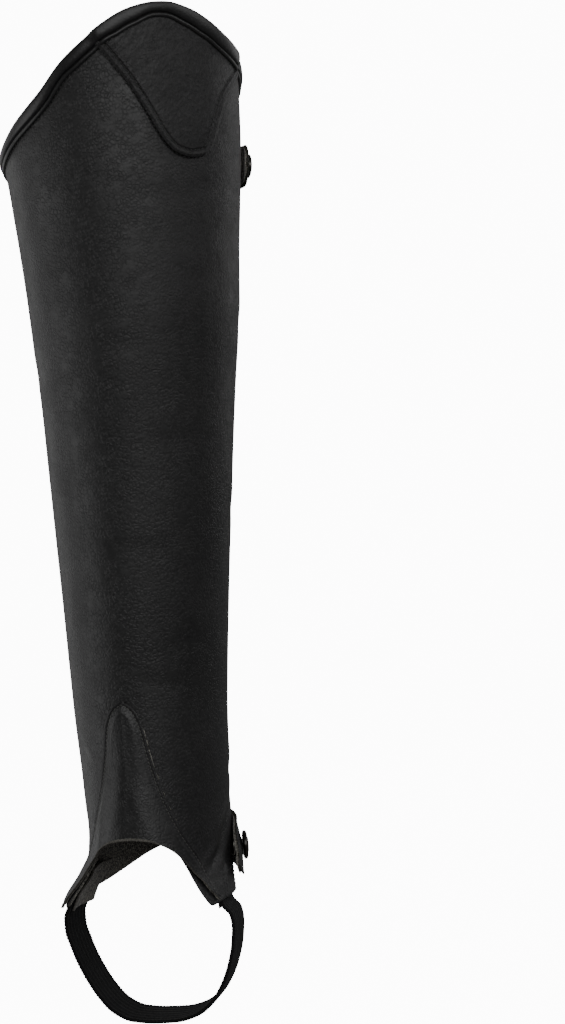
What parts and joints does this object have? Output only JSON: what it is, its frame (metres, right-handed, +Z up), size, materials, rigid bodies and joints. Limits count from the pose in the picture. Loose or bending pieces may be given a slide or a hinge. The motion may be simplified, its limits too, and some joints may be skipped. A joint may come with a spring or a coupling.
{
  "type": "half chap",
  "caption": "Black leather half chap standing in its worn shape: zipped shell with a curved bound top, knee patch, stitched tongue over the foot, snap tabs and an elastic stirrup strap.",
  "frame": {"origin": "on the leg's axis at the height of the calf's widest part, where the wearer's calf holds it", "axes": "+Z up the leg, -Y towards the front of the leg, where the tongue's middle is, and +X towards its outer side"},
  "size_m": [0.1236, 0.1329, 0.4927],
  "materials": {
    "grained_leather": "pebbled, satin",
    "patch_leather": "finely creased, satin",
    "tongue_leather": "pebbled, satin",
    "binding_leather": "smooth, satin",
    "tab_leather": "smooth, raw edges",
    "zip_tape": "woven, matt",
    "zip_teeth": "satin",
    "black_metal": "black, glossy",
    "dull_metal": "dull nickel",
    "elastic": "ribbed webbing, matt"
  },
  "bodies": {
    "chap": {"shell": "grained_leather", "knee_patch": "patch_leather", "tongue": "tongue_leather", "top_binding": "binding_leather", "zip_tape_outer": "zip_tape", "zip_tape_inner": "zip_tape", "zip_chain": "zip_teeth", "snap_tab_top": "tab_leather", "snap_tab_bottom": "tab_leather", "snap_cap_top": "black_metal", "snap_cap_bottom": "black_metal", "snap_stud_top": "dull_metal", "snap_stud_bottom": "dull_metal", "zip_slider": "black_metal", "stirrup_strap": "elastic"},
    "pull": {"zip_pull": "black_metal"}
  },
  "joints": [
    {"name": "pull_hinge", "type": "hinge", "parent": "chap", "child": "pull", "pos_m": [0.0395, 0.05074, 0.01783], "axis": [0.73, -0.6834, 0.003], "range_deg": [0, 160]}
  ]
}
